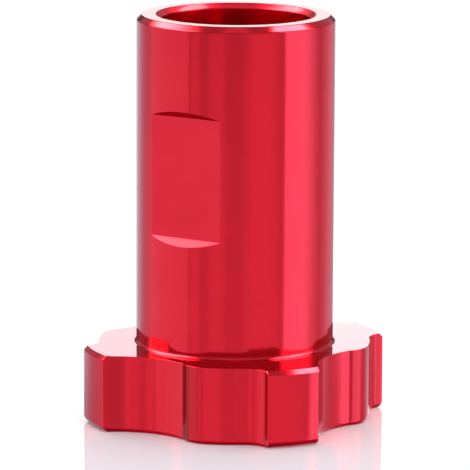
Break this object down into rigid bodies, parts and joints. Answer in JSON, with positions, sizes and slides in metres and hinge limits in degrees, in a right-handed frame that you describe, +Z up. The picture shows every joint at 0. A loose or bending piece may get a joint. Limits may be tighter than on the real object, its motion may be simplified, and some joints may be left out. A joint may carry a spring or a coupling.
{
  "type": "spray gun cup adapter",
  "caption": "Anodised tubular adapter between a gravity paint spray gun and a quarter-turn paint cup, with a threaded mouth, wrench flats and a lobed lock flange.",
  "frame": {"origin": "centre of the base face, on the axis of the tube", "axes": "+Z up the bore to the mouth for the gun; -Y is the front, from which the front wrench flat lies 32.4 degrees to the left"},
  "size_m": [0.0448, 0.0448, 0.0608],
  "materials": {
    "red_anodised": "turned, milled and bright red anodised",
    "washer_plastic": "ivory fluoropolymer",
    "ring_rubber": "black, lightly greased"
  },
  "bodies": {
    "root": {"adapter_body": "red_anodised", "gun_washer": "washer_plastic", "cup_ring": "ring_rubber"}
  },
  "joints": []
}
